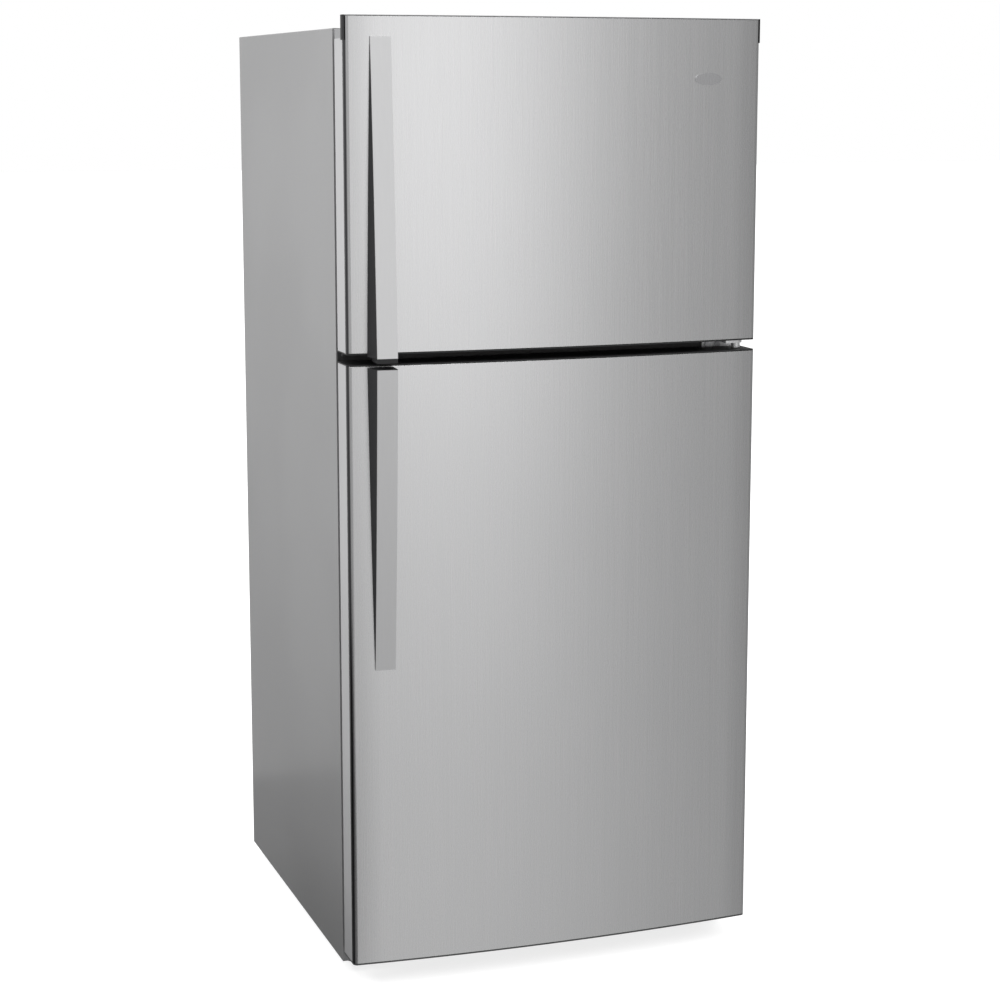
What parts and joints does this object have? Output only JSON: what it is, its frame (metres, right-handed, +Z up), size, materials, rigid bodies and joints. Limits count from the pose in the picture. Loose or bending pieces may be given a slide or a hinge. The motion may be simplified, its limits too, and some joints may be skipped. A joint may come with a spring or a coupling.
{
  "type": "top freezer refrigerator",
  "caption": "Free-standing refrigerator with the freezer on top, bowed brushed-steel doors hinged at the right and blade-shaped handles that meet at the gap.",
  "frame": {"origin": "on the floor, under the middle of the whole object's box, handles included", "axes": "+Z up, -Y out of the doors' front, +X towards the doors' hinges"},
  "size_m": [0.756, 0.8202, 1.68],
  "materials": {
    "cabinet_paint": "grey textured paint",
    "door_paint": "light grey satin paint",
    "stainless": "vertical brushed, satin",
    "zinc_steel": "zinc plated",
    "black_steel": "black paint",
    "compressor_black": "black enamel",
    "dark_plastic": "moulded, matte",
    "grey_plastic": "moulded, matte",
    "white_plastic": "vacuum formed, semi-gloss",
    "clear_plastic": "clear polystyrene",
    "frosted_plastic": "frosted",
    "shelf_glass": "tempered",
    "white_wire": "vinyl coated",
    "gasket": "soft vinyl",
    "rubber": "moulded",
    "foam": "rigid foam",
    "aluminium": "bare",
    "black_wire": "black coated tube"
  },
  "bodies": {
    "cabinet": {"cabinet_wrapper": "cabinet_paint", "rear_panel": "cabinet_paint", "cabinet_insulation": "foam", "freezer_liner": "white_plastic", "fridge_liner": "white_plastic", "mullion_rail": "black_steel", "base_pan": "zinc_steel", "base_grille": "dark_plastic", "roller_axles": "zinc_steel", "compressor": "compressor_black", "compressor_mounts": "rubber", "condenser_coil": "black_wire", "condenser_fan_bracket": "zinc_steel", "drain_pan": "dark_plastic", "machine_compartment_cover": "cabinet_paint", "evaporator_coil": "aluminium", "evaporator_cover": "white_plastic", "evaporator_fan_motor": "grey_plastic", "control_housing": "white_plastic", "light_lens": "frosted_plastic", "freezer_shelf": "white_wire", "shelf_glass": "shelf_glass", "shelf_frames": "white_plastic", "top_hinge": "zinc_steel", "top_hinge_cover": "dark_plastic", "center_hinge": "zinc_steel", "bottom_hinge": "zinc_steel", "hinge_screws": "zinc_steel"},
    "freezer_door": {"freezer_door_panel": "stainless", "freezer_door_sides": "door_paint", "freezer_door_foam": "foam", "freezer_door_top_cap": "dark_plastic", "freezer_door_bottom_cap": "dark_plastic", "freezer_door_liner": "white_plastic", "freezer_door_gasket": "gasket", "freezer_door_bins": "clear_plastic", "freezer_handle_strap": "stainless", "freezer_handle_body": "dark_plastic", "badge": "zinc_steel"},
    "fridge_door": {"fridge_door_panel": "stainless", "fridge_door_sides": "door_paint", "fridge_door_foam": "foam", "fridge_door_top_cap": "dark_plastic", "fridge_door_bottom_cap": "dark_plastic", "fridge_door_liner": "white_plastic", "fridge_door_gasket": "gasket", "fridge_door_bins": "clear_plastic", "fridge_handle_strap": "stainless", "fridge_handle_body": "dark_plastic"},
    "dairy_flap": {"dairy_flap": "clear_plastic"},
    "crisper_left": {"crisper_left": "clear_plastic"},
    "crisper_right": {"crisper_right": "clear_plastic"},
    "freezer_control_knob": {"freezer_control_knob": "white_plastic"},
    "fridge_control_knob": {"fridge_control_knob": "white_plastic"},
    "front_foot_left": {"front_foot_left": "dark_plastic"},
    "front_foot_right": {"front_foot_right": "dark_plastic"},
    "rear_roller_left": {"rear_roller_left": "grey_plastic"},
    "rear_roller_right": {"rear_roller_right": "grey_plastic"},
    "condenser_fan": {"condenser_fan": "grey_plastic"},
    "evaporator_fan": {"evaporator_fan": "grey_plastic"}
  },
  "joints": [
    {"name": "freezer_door_hinge", "type": "hinge", "parent": "cabinet", "child": "freezer_door", "pos_m": [0.354, -0.33089, 1.39], "axis": [0, 0, 1], "range_deg": [0, 120]},
    {"name": "fridge_door_hinge", "type": "hinge", "parent": "cabinet", "child": "fridge_door", "pos_m": [0.354, -0.33089, 0.57], "axis": [0, 0, 1], "range_deg": [0, 120]},
    {"name": "dairy_flap_hinge", "type": "hinge", "parent": "fridge_door", "child": "dairy_flap", "pos_m": [0, -0.23889, 0.967], "axis": [1, 0, 0], "range_deg": [0, 85]},
    {"name": "crisper_left_slide", "type": "slide", "parent": "cabinet", "child": "crisper_left", "axis": [0, -1, 0], "range_m": [0, 0.115]},
    {"name": "crisper_right_slide", "type": "slide", "parent": "cabinet", "child": "crisper_right", "axis": [0, -1, 0], "range_m": [0, 0.115]},
    {"name": "freezer_knob_turn", "type": "hinge", "parent": "cabinet", "child": "freezer_control_knob", "pos_m": [-0.095, -0.14389, 1.045], "axis": [0, -1, 0], "range_deg": [-120, 120]},
    {"name": "fridge_knob_turn", "type": "hinge", "parent": "cabinet", "child": "fridge_control_knob", "pos_m": [0.095, -0.14389, 1.045], "axis": [0, -1, 0], "range_deg": [-120, 120]},
    {"name": "front_foot_left_turn", "type": "hinge", "parent": "cabinet", "child": "front_foot_left", "pos_m": [-0.335, -0.22389, 0], "axis": [0, 0, 1], "continuous": true},
    {"name": "front_foot_right_turn", "type": "hinge", "parent": "cabinet", "child": "front_foot_right", "pos_m": [0.335, -0.22389, 0], "axis": [0, 0, 1], "continuous": true},
    {"name": "rear_roller_left_spin", "type": "hinge", "parent": "cabinet", "child": "rear_roller_left", "pos_m": [-0.338, 0.34011, 0.018], "axis": [1, 0, 0], "continuous": true},
    {"name": "rear_roller_right_spin", "type": "hinge", "parent": "cabinet", "child": "rear_roller_right", "pos_m": [0.338, 0.34011, 0.018], "axis": [1, 0, 0], "continuous": true},
    {"name": "condenser_fan_spin", "type": "hinge", "parent": "cabinet", "child": "condenser_fan", "pos_m": [0.009, 0.29511, 0.14], "axis": [1, 0, 0], "continuous": true},
    {"name": "evaporator_fan_spin", "type": "hinge", "parent": "cabinet", "child": "evaporator_fan", "pos_m": [0, 0.30611, 1.512], "axis": [0, -1, 0], "continuous": true}
  ]
}
